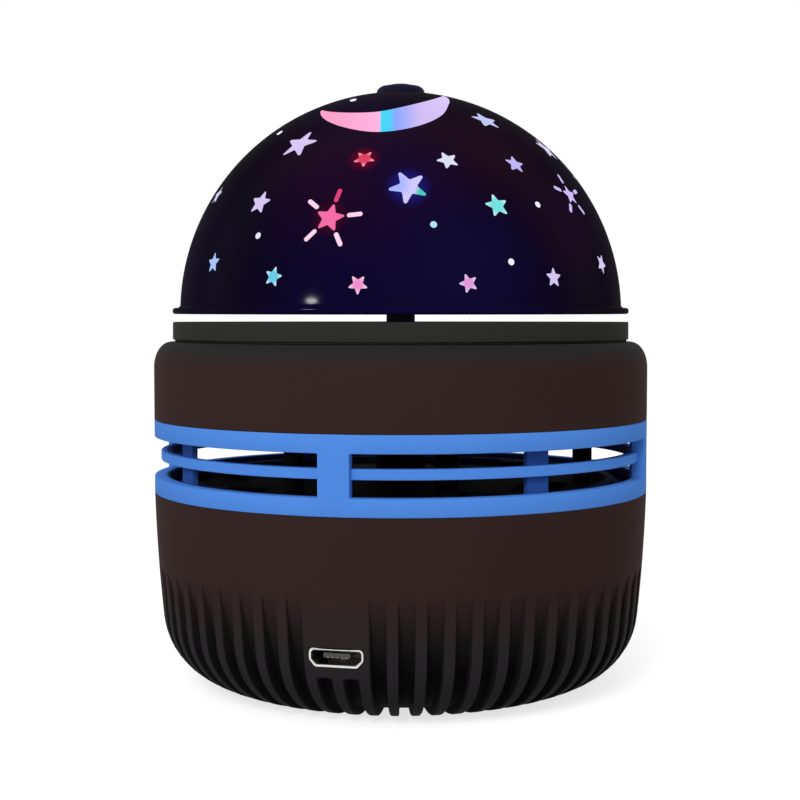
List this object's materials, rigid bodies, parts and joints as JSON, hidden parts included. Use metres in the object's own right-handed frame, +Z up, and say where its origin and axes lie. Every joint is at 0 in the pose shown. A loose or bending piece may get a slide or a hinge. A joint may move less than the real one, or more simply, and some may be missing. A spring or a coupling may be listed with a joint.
{
  "type": "star night light projector",
  "caption": "Round table night light with a dark star-windowed dome that turns on a spindle above a base with a blue vented ring and a ribbed bowl",
  "frame": {"origin": "centre of the flat underside, on the dome's axis", "axes": "+Z up along the dome's axis, -Y towards the power inlet, +X to the right of the inlet as seen from the front"},
  "size_m": [0.075, 0.075, 0.0909],
  "materials": {
    "dome_mask": "gloss",
    "dome_diffuser": "frosted",
    "white_plastic": "satin",
    "dark_gloss": "gloss",
    "dark_matte": "satin",
    "gear_acetal": "satin",
    "steel": "polished",
    "brass": "machined",
    "collar_plastic": "satin",
    "clear_cover": "clear",
    "board": "satin",
    "led_red": "clear",
    "led_green": "clear",
    "led_blue": "clear",
    "led_white": "clear",
    "screw_steel": "plated",
    "body_plastic": "satin",
    "inner_black": "matte",
    "bush_bronze": "sintered",
    "blue_plastic": "gloss",
    "lead_pvc": "satin",
    "main_board": "satin",
    "usb_steel": "polished",
    "rib_plastic": "matte"
  },
  "bodies": {
    "dome": {"star_mask_dome": "dome_mask", "diffuser_dome": "dome_diffuser", "dome_hub": "white_plastic", "top_cap": "dark_gloss", "dome_spindle": "dark_matte", "output_gear": "gear_acetal"},
    "second_gear_body": {"second_gear": "gear_acetal"},
    "first_gear_body": {"first_gear": "gear_acetal"},
    "motor_rotor": {"motor_shaft": "steel", "motor_pinion": "brass"},
    "base": {"collar_ring": "collar_plastic", "light_cover": "clear_cover", "reflector_dish": "white_plastic", "led_board": "board", "red_led": "led_red", "green_led": "led_green", "blue_led": "led_blue", "white_led": "led_white", "led_board_screws": "screw_steel", "upper_housing": "body_plastic", "upper_deck": "inner_black", "deck_screws": "screw_steel", "upper_bush": "bush_bronze", "thrust_washer": "gear_acetal", "vent_ring": "blue_plastic", "lower_deck": "inner_black", "lower_bush": "bush_bronze", "housing_screws": "screw_steel", "lead_sleeve": "inner_black", "lamp_lead": "lead_pvc", "lamp_socket": "white_plastic", "gearbox_plate": "inner_black", "gearbox_screws": "screw_steel", "first_gear_pin": "steel", "second_gear_pin": "steel", "motor_can": "steel", "motor_end_cap": "inner_black", "motor_lead": "lead_pvc", "main_board": "main_board", "board_screws": "screw_steel", "control_chip": "inner_black", "smoothing_capacitor": "inner_black", "board_socket": "white_plastic", "usb_shell": "usb_steel", "usb_tongue": "inner_black", "usb_contacts": "brass", "lower_housing": "rib_plastic"}
  },
  "joints": [
    {"name": "dome_spin", "type": "hinge", "parent": "base", "child": "dome", "pos_m": [0, 0, 0.056], "axis": [0, 0, 1], "continuous": true},
    {"name": "second_gear_spin", "type": "hinge", "parent": "base", "child": "second_gear_body", "pos_m": [-0.01247, -0.0072, 0.025], "axis": [0, 0, 1], "continuous": true},
    {"name": "first_gear_spin", "type": "hinge", "parent": "base", "child": "first_gear_body", "pos_m": [-0.01247, 0.0072, 0.023], "axis": [0, 0, 1], "continuous": true},
    {"name": "motor_spin", "type": "hinge", "parent": "base", "child": "motor_rotor", "pos_m": [-0.00229, 0.01738, 0.02], "axis": [0, 0, 1], "continuous": true}
  ],
  "couplings": [
    {"joint": "second_gear_spin", "follows": "dome_spin", "ratio": -5},
    {"joint": "first_gear_spin", "follows": "dome_spin", "ratio": 25},
    {"joint": "motor_spin", "follows": "dome_spin", "ratio": -125}
  ]
}
